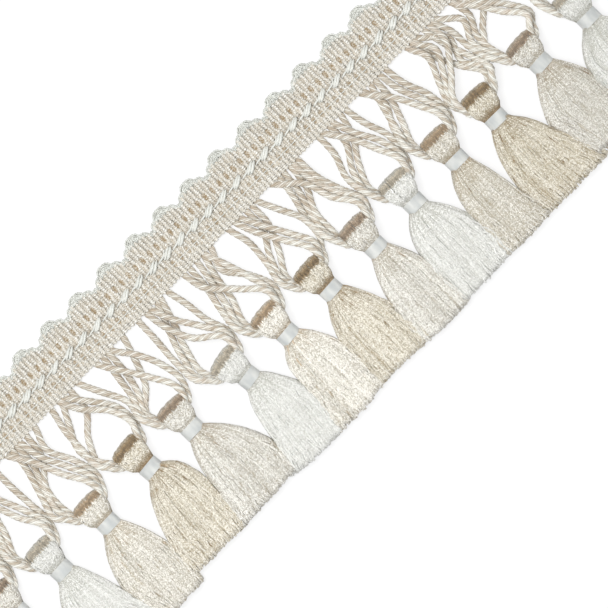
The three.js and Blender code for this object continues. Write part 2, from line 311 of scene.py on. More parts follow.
def smooth_route(points, count):
    """count evenly spaced points on a smooth curve through the given ones."""
    points = np.array(points, float)
    knots = lengths_along(points[None])[0]
    fine = np.linspace(0, knots[-1], 16 * count)
    curve = np.stack([eased(fine, knots, column) for column in points.T], axis=1)
    reached = lengths_along(curve[None])[0]
    even = np.linspace(0, reached[-1], count)
    return np.stack([np.interp(even, reached, column) for column in curve.T], axis=1)


def cord_route(index, side, order):
    """The middle line of one cord, from the heading to one side of the head; side is -1 for left."""
    cords = CORDS[index][side > 0]
    start, first, second, stand = cords[order]
    stand = stand - side * HEAD_SHIFTS.get(index, 0.0)
    on_top = (side < 0) == (index in LEFT_ON_TOP)
    heights = CORD_HEIGHTS["over" if on_top else "under"]
    # 0 for the cord nearest to the head, 1 for the outermost
    outward = (len(cords) - 1 - order if side < 0 else order) / (len(cords) - 1)
    waist_height = mix(heights["inner"], heights["outer"], outward)
    lower = mix(heights["lower"], CORD_HEIGHTS["under"]["lower"], outward * 0.6)
    waist = on_head(index, side * stand, WAIST_ALONG, waist_height)
    neck_x, edge_y = necks[index][0], heading_low[1]
    drop = waist[1] - edge_y
    curl = min(max(stand - CURL_INWARD, CURL_LIMITS[0]), CURL_LIMITS[1])
    # Across the head, up from the neck, and how far the cord has sunk to the middle of the head
    inside = [
        (mix(CURL_LIMITS[0], curl, outward), mix(14.5, 15.0, outward), 0.3),
        (mix(7.3, curl - 1.3, outward), 12.2, 0.6),
        (mix(6.2, 7.7, outward), mix(11.3, 10.1, outward), 1.0),
        (4.3, mix(10.9, 9.5, outward), 1.0),
    ]
    route = [
        (neck_x + start - 0.2 * (first - start), edge_y + HIDDEN_END["above"], HIDDEN_END["height"]),
        (neck_x + start, edge_y - EXIT_BELOW, heights["edge"]),
        (neck_x + first, edge_y + drop * BENDS[0], heights["upper"]),
        (neck_x + second, edge_y + drop * BENDS[1], lower),
        waist,
    ]
    for across, along, sunk in inside:
        height = mix(waist_height, HEAD_MIDDLE_HEIGHT, sunk)
        route.append(on_head(index, side * across, along, height))
    return route


def unit(vectors):
    return vectors / np.linalg.norm(vectors, axis=-1, keepdims=True)


def twisted(route, phase, pressed):
    """The middle lines of the plies that wind round each other along a route, to the left. pressed
    is how much of its full height the cord keeps at each ring."""
    ahead = unit(np.gradient(route, axis=0))
    side = unit(np.cross(ahead, (0, 0, 1)))
    lift = np.cross(side, ahead)
    turn = lengths_along(route[None])[0] / CORD_TURN * math.tau + phase
    starts = np.arange(PLIES)[:, None, None] / PLIES * math.tau
    angle = turn[None, :, None] + starts
    return list(route + PLY_OFFSET * (np.cos(angle) * side + pressed[:, None] * np.sin(angle) * lift))


def mark_points(mesh, mark, values):
    mesh.attributes.new(mark, "FLOAT", "POINT").data.foreach_set("value", values)


def tube_mesh(name, paths, radii, sides, marks):
    """One mesh of many closed tubes. paths is tubes by rings by 3 and radii tubes by rings. marks
    are named values of each ring, kept as attributes; U runs round a tube and V along it in mm."""
    paths = np.asarray(paths, float)
    tubes, rings = paths.shape[:2]
    radii = np.broadcast_to(radii, (tubes, rings))
    ahead = unit(np.gradient(paths, axis=1))
    # A ring's side follows from the ring before it, and the first from a slant that no yarn runs along
    side = np.cross(ahead, (0.31, 0.17, 0.94))
    for ring in range(1, rings):
        before, onward = side[:, ring - 1], ahead[:, ring]
        side[:, ring] = before - onward * np.sum(before * onward, axis=1, keepdims=True)
    side = unit(side)
    lift = np.cross(ahead, side)
    angles = np.arange(sides) / sides * math.tau
    around = np.cos(angles)[:, None] * side[:, :, None] + np.sin(angles)[:, None] * lift[:, :, None]
    corners = paths[:, :, None] + radii[:, :, None, None] * around

    index = np.arange(tubes * rings * sides).reshape(tubes, rings, sides)
    here, onward = index[:, :-1], index[:, 1:]
    walls = np.stack([here, np.roll(here, -1, 2), np.roll(onward, -1, 2), onward], axis=-1)
    caps = []
    for corner in range(1, sides - 1, 2):
        quad = [0, corner, corner + 1, corner + 2]
        caps += [index[:, 0][:, quad[::-1]], index[:, -1][:, quad]]
    faces = np.concatenate([walls.reshape(-1, 4), *caps])
    mesh = bpy.data.meshes.new(name)
    mesh.from_pydata((corners * MM).reshape(-1, 3), [], faces)

    along = lengths_along(paths)
    u = np.stack([np.arange(sides) / sides, np.arange(1, sides + 1) / sides], axis=1)
    uv = np.zeros((tubes, rings - 1, sides, 4, 2))
    uv[..., 0] = u[:, [0, 1, 1, 0]]
    uv[..., :2, 1] = along[:, :-1, None, None]
    uv[..., 2:, 1] = along[:, 1:, None, None]
    cap_uv = np.zeros((len(faces) - tubes * (rings - 1) * sides, 4, 2))
    layer = mesh.uv_layers.new(name="thread")
    layer.data.foreach_set("uv", np.concatenate([uv.reshape(-1), cap_uv.reshape(-1)]))
    for mark, values in marks.items():
        mark_points(mesh, mark, np.repeat(np.broadcast_to(values, (tubes, rings)).reshape(-1), sides))
    mesh.shade_smooth()
    return mesh


def linear(red, green, blue):
    """The scene's own colour for one given as the eye sees it, each part from 0 to 1."""
    parts = [((part + 0.055) / 1.055) ** 2.4 for part in (red, green, blue)]
    return (*parts, 1)


def blended(paint, factor, first, second):
    """One colour over another; each is a field, or red, green and blue as the eye sees them."""
    pair = [colour if isinstance(colour, Field) else linear(*colour) for colour in (first, second)]
    sockets = {0: factor, 6: pair[0], 7: pair[1]}
    return paint.node("ShaderNodeMix", {"data_type": "RGBA"}, sockets, output=2)


def finish_surface(paint, colour, height, relief, rough=0.5, gloss=0.4, sheen=0.15, sheen_rough=0.5):
    """Ends a material. height times relief, in millimetres, is how rough the surface stands. What
    isn't said is as on the trim's plain yarn."""
    bump = {"Height": height, "Distance": relief * MM, "Strength": 1.0}
    surface = paint.node("ShaderNodeBsdfPrincipled", {}, {
        "Base Color": colour,
        "Normal": paint.node("ShaderNodeBump", {}, bump),
        "Roughness": rough,
        "Specular IOR Level": gloss,
        "Sheen Weight": sheen,
        "Sheen Roughness": sheen_rough,
    })
    paint.node("ShaderNodeOutputMaterial", {}, {"Surface": surface})


def attribute(paint, name):
    return paint.node("ShaderNodeAttribute", {"attribute_name": name}, {}, output="Fac")


def grain(paint, size, stretch=1.0, detail=2.0):
    """Fine noise from 0 to 1, of spots size millimetres wide, stretched along the tassels."""
    place = paint.node("ShaderNodeTexCoord", {}, {}, output="Object")
    scale = (1, 1 / stretch, 1)
    squeezed = paint.node("ShaderNodeVectorMath", {"operation": "MULTIPLY"}, {0: place, 1: scale})
    sockets = {"Vector": squeezed, "Scale": 1 / (size * MM), "Detail": detail, "Roughness": 0.6}
    return paint.node("ShaderNodeTexNoise", {}, sockets)


def contrast(field, low, high):
    """Stretches the part of a field between low and high to run from 0 to 1."""
    limits = {"Value": field, "From Min": low, "From Max": high}
    return field.node("ShaderNodeMapRange", {"clamp": True}, limits)


def map_place(paint, name):
    """The two values of a UV map. On a yarn, they are the turn round it and the millimetres along."""
    place = paint.node("ShaderNodeUVMap", {"uv_map": name}, {})
    return [paint.node("ShaderNodeSeparateXYZ", {}, {0: place}, output=axis) for axis in "XY"]


def yarn_lines(paint, strands, slant):
    """Fine yarns round a ply, from 0 in the grooves to 1 on their crowns."""
    around, length = map_place(paint, "thread")
    turn = (around * strands + length * slant) * math.tau
    return turn.worked("SINE", turn) * 0.5 + 0.5


def yarn_streaks(paint, fineness):
    """Irregular streaks from 0 to 1 along a ply, each several millimetres long."""
    around, length = map_place(paint, "thread")
    turn = around * math.tau
    sockets = {0: turn.worked("COSINE", turn), 1: turn.worked("SINE", turn), 2: length * 0.2}
    place = paint.node("ShaderNodeCombineXYZ", {}, sockets)
    return paint.node("ShaderNodeTexNoise", {}, {"Vector": place, "Scale": fineness, "Detail": 2.0})


cord_finish, paint = new_material("cord_satin")
tint = attribute(paint, "tint")
shade = attribute(paint, "shade")
lines = yarn_lines(paint, 4, 0.25)
speck = contrast(grain(paint, 0.8), 0.38, 0.66)
streaks = contrast(yarn_streaks(paint, 1.6), 0.36, 0.64)
# shade is painted shade, deepest just below the heading: it turns the plies a little more beige and
# deepens the grooves
beige = contrast(tint + streaks * 0.7 + shade * 0.1, 0.47, 1.2)
ply_colour = blended(paint, beige, (0.92, 0.92, 0.89), (0.70, 0.65, 0.575))
worn = blended(paint, speck * 0.2, ply_colour, (0.90, 0.89, 0.86))
pinkish = contrast(grain(paint, 5.0), 0.5, 0.7)
warmed = blended(paint, pinkish * 0.25, worn, (0.82, 0.73, 0.65))
# Painted shade in the grooves between the fine yarns of each ply
groove_shade = (1 - lines) * (shade * 0.35 + 0.4)
groove_shaded = blended(paint, groove_shade, warmed, (0.57, 0.51, 0.43))
finish_surface(paint, groove_shaded, lines * 0.7 + speck * 0.3, relief=0.12)


def link(name, mesh, material):
    """A new piece of the trim, with one material."""
    mesh.materials.clear()
    mesh.materials.append(material)
    piece = bpy.data.objects.new(name, mesh)
    bpy.context.collection.objects.link(piece)
    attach(piece, "root")
    return piece


pressed = 1 - FLATTENED * np.exp(-np.arange(CORD_RINGS) / FLATTENED_RINGS)
shade = np.interp(np.arange(CORD_RINGS), CORD_SHADE["ring"], CORD_SHADE["shade"])
for index, cords in enumerate(CORDS):
    draw = np.random.default_rng(100 + index)
    plies = []
    tints = []
    for side, starts in zip((-1, 1), cords):
        for order in range(len(starts)):
            route = smooth_route(cord_route(index, side, order), CORD_RINGS)
            plies += twisted(route, draw.uniform(0, math.tau), pressed)
            tints += list(np.array(PLY_TINTS) + draw.uniform(-0.15, 0.25, PLIES))
    marks = {"tint": np.array(tints)[:, None], "shade": shade}
    mesh = tube_mesh("cords", plies, PLY_RADIUS, PLY_SIDES, marks)
    piece = link(f"twisted_cords_{index + 1:02d}", mesh, cord_finish)
    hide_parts(f"cord_loops_{index + 1:02d}")

# ---- Tassels ----
# Each tassel is one hank of several hundred crimped, softly shining yarns. It is folded over the
# cords, so that the fold is a roll along the top of its head, tied in at the neck, and cut straight
# across below. The fold and the hollow above the neck are painted darker and browner than the rest,
# as shade, and the crowns of the crimps are painted lighter, as highlight.

# The head, up from the neck: half its width, and the heights of its back and front above the table
HEAD = {
    "along": (1.5, 3.1, 5.0, 8.5, 11.0, 13.0, 14.6),
    "half": (4.5, 4.7, 6.2, 7.4, 7.8, 7.5, 7.5),
    "back": (1.3, 1.2, 0.7, 0.4, 0.4, 0.6, 1.2),
    "front": (8.6, 8.9, 10.2, 11.2, 11.0, 9.8, 10.0),
}
# Heads that are shorter than the others, by their share of the full length
HEAD_LENGTHS = {2: 0.94, 4: 0.95, 12: 0.92}
HEAD_ROUNDNESS = 3.4  # of a section: 2 is an ellipse, more is boxier
FOLD_START = 14.6
FOLD_RISE = 2.7
FOLD_HALF_HEIGHT = 4.4
FRONT_RINGS = 11
FOLD_RINGS = 9

# The skirt, down from the neck: heights above the table, and how much of the head's lean it takes
SKIRT = {
    "depth": (1.0, 3.1, 8.0, 16.0, 28.0, 46.5),
    "bottom": (1.3, 1.2, 0.4, 0.0, 0.0, 0.0),
    "top": (8.6, 8.9, 9.4, 9.0, 7.8, 6.4),
    "turn": (0.4, 0.4, 0.0, 0.0, 0.0, 0.0),
}
# The skirts in the order of the tassels. cut is the depth of the cut end below the neck. A skirt meets
# the next one at the depth meets, reach to the right of its own neck, and the two part again at the
# cut end, spread from its neck. corners is how much shorter the yarns of its left and right side are
# than those in the middle, and shift how far to the right of its neck's middle it starts. flares are
# the depths over which the flaring of its right side, and of the next skirt's left, slows to a third.
SKIRT_COLUMNS = ("cut", "meets", "reach", "spread", "corners", "shift", "flares")
SKIRT_ROWS = [
    (46.8, 14.0, 14.2, 13.3, (0, 0), 0.0, (16, 16)),
    (47.0, 25.4, 13.0, 18.0, (0, 0), 0.5, (26, 14)),
    (48.0, 25.2, 13.5, 11.4, (-0.5, 0), 0.4, (19, 21)),
    (47.8, 24.0, 14.2, 10.0, (0.3, -0.4), 1.3, (5, 13)),
    (46.6, 28.9, 21.8, 18.1, (-0.5, 1.7), 1.2, (19, 17)),
    (46.2, 16.7, 14.7, 10.9, (1.6, 0.1), 0.7, (16, 5)),
    (47.1, 18.7, 14.1, 14.0, (-0.2, 1.5), 0.5, (11, 16)),
    (45.8, 22.3, 14.6, 13.3, (0, -0.9), 0.3, (24, 19)),
    (46.6, 16.6, 10.5, 10.4, (1.3, 0.4), -0.7, (29, 8)),
    (46.7, 20.7, 13.7, 13.3, (0, 0.8), -1.1, (18, 10)),
    (47.1, 30.0, 10.4, 13.3, (1, 1.2), -0.6, (31, 13)),
    (46.6, 19.3, 12.2, 22.0, (0.3, 0), -2.1, (14, 22)),
    (46.8, 17.1, 13.3, 14.8, (0, 0), 0.5, (20, 9)),
    (46.8, 24.0, 14.0, 15.0, (0, 0), -1.7, (16, 16)),
]
SKIRTS = [dict(zip(SKIRT_COLUMNS, row)) for row in SKIRT_ROWS]
FIRST_LEFT = {"meets": 22.0, "reach": 13.8, "cut": 46.8, "spread": 15.0, "flare": 14.0}
SKIRT_START = 1.4
SKIRT_NECK_DEPTH = 3.0
SKIRT_NECK_HALF = 5.5
BOUND_DEPTH = 1.0
BOUND_HALF = 4.5
ROUNDNESS = 3.0  # of the sides of a skirt's section
FLATNESS = 3.8  # and of its front and back
PRESSED_FLATNESS = 8.0  # where a side is pressed against the next skirt
PRESSED_OVER = 7.0
YARN_RADIUS = 0.5
YARN_RINGS = 20
YARN_LENGTH = 45.0
OUTER_YARNS = 84
UPPER_YARNS = 72
UPPER_LIFT = 0.38
UPPER_LOOSENESS = 1.7

# How yarns wander, and how the streaks of painted shade on them come and go: how far, and over what
# lengths
SWAY = (0.36, 24, 11)
CRIMP = (0.13, 4.6, 3.3)
BOB = (0.1, 5.5, 3.7)
SHADED_STREAKS = (2.0, 15, 10)
FOLD_UNEVENNESS = (0.12, 0.7, 0.4)
# How they gather in bunches round the skirt, sideways and upwards: how far apart, and how much
CLUMPS = ((3.1, 0.18), (5.3, 0.16))
CROWNS = (3.1, 0.14)
RAGGED_ENDS = (0.35, 0.4)  # how unevenly the yarns are cut, and how much shorter some of them are
OPENING = 1.6  # how fast the yarns get free of the binding's pull, for a length of 1
STRAY = {"mean": 0.5, "spread": 0.9, "over": 11.0, "most": 1.3}  # of the sides, below their meeting
JOINT_DEPTH = 4.5  # over which painted shade darkens two skirts where they meet
SKIRT_SHADE = {"down": (0.0, 0.06, 0.2, 0.35), "shade": (0.8, 0.55, 0.42, 0.1)}

HEAD_YARN_RADIUS = 0.33
HEAD_YARNS = 36
FLECKS = 170
FLECK_RADIUS = 0.21
FLECK_PLACES = (4.8, 12.8)  # up the head
FLECK_LENGTHS = (0.9, 2.1)
FLECK_SLANT = 0.45
FLECK_LIFT = (-0.1, 0.32, 0.32, -0.1)
STUBS = 70
STUB_DEPTH = 2.6
CORE_SECTIONS = 24
CORE_INSET = 0.32
CORE_DEPTHS = (45.0, 40.0, 34.0, 28.0, 22.0, 16.0, 12.0, 8.0, 5.0, 3.0, 1.4)  # down the skirt
CORE_ALONGS = (1.5, 3.1, 5.0, 7.0, 9.0, 11.0, 12.7, 14.6, 16.4)  # and up the head
CRIMP_PITCH = 2.12
CRIMP_WAVE = 0.024

# The yarns, in the order in which the tassels repeat: the colour on their crimps, a painted
# highlight, between them, painted shade, between the yarns, and in the shade of the fold, both painted
# shade too. hollow is how brown the painted shade above the neck is, between how brown the painted shade
# on the head is between its bright loops, streaks how brown the painted shade is on the yarns that show
# between others, and crease how much of its lightness the fold keeps in the painted shade of the crease
# below it.
YARNS = [
    {
        "name": "ecru", "light": (0.99, 0.98, 0.95), "deep": (0.735, 0.71, 0.655),
        "shade": (0.70, 0.66, 0.58), "fold": (0.68, 0.60, 0.51),
        "hollow": 0.56, "between": 0.46, "streaks": 0.65, "crease": 0.74,
    },
    {
        "name": "white", "light": (0.98, 0.977, 0.958), "deep": (0.83, 0.826, 0.795),
        "shade": (0.74, 0.735, 0.69), "fold": (0.75, 0.71, 0.635),
        "hollow": 0.68, "between": 0.3, "streaks": 0.1, "crease": 0.82,
    },
    {
        "name": "cream", "light": (1.0, 0.985, 0.95), "deep": (0.72, 0.69, 0.615),
        "shade": (0.71, 0.665, 0.57), "fold": (0.70, 0.61, 0.495),
        "hollow": 0.8, "between": 0.34, "streaks": 0.75, "crease": 0.8,
    },
    {
        "name": "tan", "light": (0.985, 0.965, 0.915), "deep": (0.745, 0.695, 0.585),
        "shade": (0.665, 0.61, 0.50), "fold": (0.61, 0.52, 0.39),
        "hollow": 1.0, "between": 0.5, "streaks": 1.0, "crease": 0.78,
    },
]
# Hanks that are lighter, or below 0 darker, than the others of their colour
OWN_TINTS = {6: 0.4, 10: -0.35, 11: -0.3, 12: -0.35, 13: -0.3}


def signed_power(values, power):
    return np.sign(values) * np.abs(values) ** power


def skirt_side(index, side):
    """One side of a skirt, seen from its own neck; side is -1 for left. A left side is the right side
    of the skirt before it."""
    own = SKIRTS[index]
    top = {
        "start": SKIRT_NECK_HALF + side * own["shift"],
        "tied": BOUND_HALF + side * HEAD_SHIFTS.get(index, 0.0),
    }
    if side > 0:
        return {**own, **top, "flare": own["flares"][0]}
    if index == 0:
        return {**FIRST_LEFT, **top}
    before = SKIRTS[index - 1]
    apart, higher = necks[index] - necks[index - 1]
    return {
        "meets": before["meets"] + higher,
        "reach": apart - before["reach"],
        "cut": before["cut"] + higher,
        "spread": apart - before["spread"],
        "flare": before["flares"][1],
        **top,
    }


def skirt_half(side, depth):
    """Half the width of a skirt on one side, at depths below the middle of its neck."""
    flare = 1 - np.exp((SKIRT_NECK_DEPTH - depth) / side["flare"])
    full_flare = 1 - math.exp((SKIRT_NECK_DEPTH - side["meets"]) / side["flare"])
    free = mix(side["start"], side["reach"], flare / full_flare)
    touching = mix(side["reach"], side["spread"], (depth - side["meets"]) / (side["cut"] - side["meets"]))
    unbound = np.clip((depth - BOUND_DEPTH) / (SKIRT_NECK_DEPTH - BOUND_DEPTH), 0, 1)
    tied = mix(side["tied"], side["start"], unbound)
    return np.where(depth < SKIRT_NECK_DEPTH, tied, np.where(depth < side["meets"], free, touching))


def skirt_points(index, around, depth, lift, stray=0.0):
    """Points of a skirt's surface: around is the angle round its section, lift how far the point
    stands above the surface, and stray how far out to its own side."""
    left, right = skirt_side(index, -1), skirt_side(index, 1)
    on_right = np.cos(around) > 0
    half = np.where(on_right, skirt_half(right, depth), skirt_half(left, depth)) + lift
    below_meeting = depth - np.where(on_right, right["meets"], left["meets"])
    flatness = mix(FLATNESS, PRESSED_FLATNESS, np.clip(below_meeting / PRESSED_OVER, 0, 1))
    bottom = eased(depth, SKIRT["depth"], SKIRT["bottom"]) - lift
    top = eased(depth, SKIRT["depth"], SKIRT["top"]) + lift
    x = signed_power(np.cos(around), 2 / ROUNDNESS) * half + stray * np.sign(np.cos(around))
    z = (bottom + top) / 2 + signed_power(np.sin(around), 2 / flatness) * (top - bottom) / 2
    turn = np.radians(LEANS[index]) * eased(depth, SKIRT["depth"], SKIRT["turn"])
    return np.stack([*turned(necks[index], x, -depth, turn), np.maximum(z, YARN_RADIUS * 1.2)], axis=-1)


def cut_end(index, around):
    """How deep below the neck the yarns are cut, by the angle round the section."""
    left, right = SKIRTS[index]["corners"]
    across = np.abs(np.cos(around)) ** (2 / ROUNDNESS)
    return SKIRTS[index]["cut"] - np.where(np.cos(around) > 0, right, left) * across**2


def even_angles(index, steps=721, depth=34.0):
    """The angle round a skirt's section for each fraction of its girth, and the girth."""
    around = np.linspace(0, math.tau, steps)
    girth = skirt_points(index, around, np.full(steps, depth), 0)
    walked = lengths_along(girth[None])[0]
    return walked / walked[-1], around, walked[-1]


def waves(draw, count, places, wandering):
    """A smooth irregular line at the given places, for each of count yarns."""
    size, *wavelengths = wandering
    total = np.zeros((count, len(places)))
    for wavelength in wavelengths:
        start = draw.uniform(0, math.tau, (count, 1))
        stretch = draw.uniform(0.8, 1.25, (count, 1))
        total += np.sin(places[None] / (wavelength * stretch) * math.tau + start)
    return total / len(wavelengths) ** 0.5 * size


def bunched(draw, places, apart, size, curve=np.sin):
    return curve(places / apart * math.tau + draw.uniform(0, 6)) * size


def skirt_yarns(index, draw, fractions, lift, loose):
    """Yarns down a skirt, at fractions of its girth, from under the binding to the cut end."""
    count = len(fractions)
    share, around, girth = even_angles(index)
    down = np.linspace(0, 1, YARN_RINGS)
    own_angle = np.interp(fractions, share, around)
    ends = cut_end(index, own_angle) - 0.3 + draw.normal(0, RAGGED_ENDS[0], count)
    ends = ends - np.abs(draw.normal(0, RAGGED_ENDS[1], count))
    depth = mix(SKIRT_START, ends[:, None], down)
    opening = np.clip(down * OPENING, 0, 1)
    sway = waves(draw, count, down * YARN_LENGTH, SWAY) * loose * opening
    crimp = waves(draw, count, down * YARN_LENGTH, CRIMP)
    clump = sum(bunched(draw, fractions * girth, *row) for row in CLUMPS)
    shift = (sway + crimp + clump[:, None] * opening) / girth
    angle = np.interp((fractions[:, None] + shift) % 1, share, around)
    crown = bunched(draw, fractions * girth, *CROWNS, np.cos)
    bob = waves(draw, count, down * YARN_LENGTH, BOB) * opening
    raised = lift + crown[:, None] * opening + bob - YARN_RADIUS
    left, right = skirt_side(index, -1), skirt_side(index, 1)
    below_meeting = depth - np.where(np.cos(own_angle) > 0, right["meets"], left["meets"])[:, None] - 1
    wander = draw.normal(STRAY["mean"], STRAY["spread"], (count, 1))
    wander = wander * np.clip(below_meeting / STRAY["over"], 0, STRAY["most"])
    stray = wander * loose * np.abs(np.cos(angle)) ** 1.5
    joint_shade = np.exp(-((below_meeting / JOINT_DEPTH) ** 2)) * np.abs(np.cos(angle)) ** 8
    return skirt_points(index, angle, depth, raised, stray), down, joint_shade


def head_points(index, across, along, level):
    """Points of a head: across from -1 to 1, and level from -1 at its back to 1 at its front."""
    half, front, back = (eased(along, HEAD["along"], HEAD[key]) for key in ("half", "front", "back"))
    past = np.clip((along - FOLD_START) / FOLD_RISE, 0, 1)
    half = half - 0.5 * past**2
    bulge = (1 - np.abs(across) ** HEAD_ROUNDNESS) ** (1 / HEAD_ROUNDNESS)
    middle = mix((front + back) / 2, HEAD_MIDDLE_HEIGHT, past)
    depth = np.where(past > 0, FOLD_HALF_HEIGHT, (front - back) / 2)
    arch = 0.9 * np.abs(across) ** 3 * past
    lean = np.radians(LEANS[index]) * np.clip((along - 1) / 4, 0.4, 1)
    place = turned(heads[index], across * half, along * HEAD_LENGTHS.get(index, 1.0) - arch, lean)
    return np.stack([*place, middle + level * depth * bulge], axis=-1)


def head_yarns(index, draw):
    """Yarns from the neck up the front of the head, over the fold and down its back."""
    up = np.linspace(HEAD["along"][0], FOLD_START, FRONT_RINGS)
    over = np.linspace(0, math.pi, FOLD_RINGS)[1:-1]
    down = up[::-2]
    along = np.concatenate([up, FOLD_START + FOLD_RISE * np.sin(over), down])
    level = np.concatenate([np.ones(len(up)), np.cos(over), -np.ones(len(down))])
    across = np.linspace(-0.95, 0.95, HEAD_YARNS)[:, None] + draw.normal(0, 0.012, (HEAD_YARNS, 1))
    sway = draw.normal(0, 0.012, (HEAD_YARNS, len(along)))
    uneven = waves(draw, 1, across[:, 0], FOLD_UNEVENNESS)[0][:, None] * np.clip(along - 13, 0, 1)
    points = head_points(index, np.clip(across + sway, -0.98, 0.98), along[None] + uneven, level[None])
    points[..., 2] += draw.normal(0, 0.05, points.shape[:2])
    points[..., 2] = np.maximum(points[..., 2], HEAD_YARN_RADIUS * 1.1)
    hollow, between = (YARNS[index % len(YARNS)][key] for key in ("hollow", "between"))
    # Up the head, how much painted shade its yarns take: in the hollow above the neck, a little between
    # the bright loops, most in the crease under the fold, and less towards the top of the fold
    knots, values = zip(
        (2.5, hollow), (4.0, hollow * 0.88), (7.0, between), (8.5, between * 0.5), (11.2, between),
        (12.8, 0.7), (13.5, 1.3), (14.6, 1.25), (15.6, 0.95), (16.3, 0.8), (17.0, 0.65),
    )
    dark = np.interp(along + draw.normal(0, 0.3, (HEAD_YARNS, 1)), knots, values)
    # Over the fold and down the back, the yarns stay in painted shade
    dark = np.where(level < 0.99, np.maximum(dark, 0.7 * (along > 12)), dark)
    return points, dark


def flecks(index, draw):
    """Short bright loops of crimped yarn that stand out of the front of the head."""
    middle = draw.uniform(*FLECK_PLACES, FLECKS)
    across = draw.uniform(-0.93, 0.93, FLECKS)
    slant = draw.normal(0, FLECK_SLANT, FLECKS)
    reach = np.linspace(-0.5, 0.5, 4)[None] * draw.uniform(*FLECK_LENGTHS, FLECKS)[:, None]
    along = np.clip(middle[:, None] + reach * np.cos(slant)[:, None], 3.0, 14.0)
    sideways = across[:, None] + reach * np.sin(slant)[:, None] / 8 + draw.normal(0, 0.02, (FLECKS, 4))
    points = head_points(index, np.clip(sideways, -0.97, 0.97), along, np.ones((FLECKS, 4)))
    points[..., 2] += np.array(FLECK_LIFT) + draw.normal(0, 0.08, (FLECKS, 4))
    place = along + draw.normal(0, 0.6, (FLECKS, 1))
    hollow = YARNS[index % len(YARNS)]["hollow"]
    # Up the head, how much painted shade the loops take: in the hollow above the neck and towards the
    # fold, hardly any between
    knots, values = zip(
        (3.2, hollow), (5.6, hollow * 0.7), (7.2, 0.0), (11.8, 0.05), (13.0, 0.4), (14.0, 1.2),
    )
    return points, np.interp(place, knots, values)


def stubs(index, draw):
    """The cut ends of the yarns inside the skirt."""
    around = draw.uniform(0, math.tau, STUBS)[:, None]
    inward = YARN_RADIUS + STUB_DEPTH * draw.uniform(0, 1, (STUBS, 1)) ** 1.2
    ends = cut_end(index, around) + draw.normal(0, 0.3, (STUBS, 1)) - 0.4
    depth = np.concatenate([np.full((STUBS, 1), SKIRTS[index]["cut"] - 4.0), ends], axis=1)
    return skirt_points(index, np.repeat(around, 2, axis=1), depth, -np.repeat(inward, 2, axis=1))


def core_mesh(index):
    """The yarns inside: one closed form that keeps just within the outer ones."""
    around = np.linspace(0, math.tau, CORE_SECTIONS, endpoint=False)
    sections = []
    for depth in CORE_DEPTHS:
        sections.append(skirt_points(index, around, np.full(CORE_SECTIONS, depth), -CORE_INSET))
    for along in CORE_ALONGS:
        across = signed_power(np.cos(around), 0.8) * 0.9
        level = signed_power(np.sin(around), 0.8) * (0.82 if along < 15 else 0.6)
        sections.append(head_points(index, across, np.full(CORE_SECTIONS, along), level))
    bm = bmesh.new()
    rings = []
    for number, section in enumerate(sections):
        ends = number in (0, len(sections) - 1)
        made = bmesh.ops.create_circle(bm, segments=CORE_SECTIONS, radius=1, cap_ends=ends)["verts"]
        made.sort(key=lambda vert: math.atan2(vert.co.y, vert.co.x) % math.tau)
        for vert, point in zip(made, section):
            vert.co = point * MM
        rings.append([vert.link_edges[0] for vert in made] + [vert.link_edges[1] for vert in made])
    for lower, upper in zip(rings, rings[1:]):
        bmesh.ops.bridge_loops(bm, edges=list(set(lower + upper)))
    bmesh.ops.recalc_face_normals(bm, faces=bm.faces)
    return new_mesh(bm, "core")


def joined(name, parts):
    """One mesh of several, with their attributes."""
    bm = bmesh.new()
    for part in parts:
        bm.from_mesh(part)
    mesh = new_mesh(bm, name)
    mesh.shade_smooth()
    return mesh


def yarn_finish(row):
    material, paint = new_material(f"yarn_{row['name']}")
    dark = attribute(paint, "dark")
    tint = attribute(paint, "tint")
    length = map_place(paint, "thread")[1]
    phase = grain(paint, 3.0, 1.5) * 2.2 + tint * 0.4
    turn = (length * (1 / CRIMP_PITCH) + phase) * math.tau
    wave = turn.worked("SINE", turn) * CRIMP_WAVE
    crimp = contrast(grain(paint, 0.3, 1.9) + (tint - 0.5) * 0.1 + wave, 0.38, 0.575)
    # On the crowns of the crimps the colour is a painted highlight, and between them painted shade; crimp
    # is also the bump's height
    body = blended(paint, crimp, row["deep"], row["light"])
    # dark is painted shade: from 0.5 it browns the hollows of the crimp and from 1 the whole yarn. The
    # brown is the shade colour, turning to the fold's past 0.6 and to the crease's past 1.0
    low, high, crease = ([part * share for part in row["fold"]] for share in (0.84, 1.16, row["crease"]))
    rolled = blended(paint, crimp, low, high)
    folded = blended(paint, contrast(dark, 1.0, 1.3), rolled, crease)
    shade_brown = blended(paint, contrast(dark, 0.6, 0.9), row["shade"], folded)
    shaded = blended(paint, contrast(dark * 2 - crimp, 0.0, 1.0), body, shade_brown)
    finish_surface(paint, shaded, crimp, relief=0.16, gloss=0.45, sheen=0.2, sheen_rough=0.4)
    return material


yarn_finishes = [yarn_finish(row) for row in YARNS]

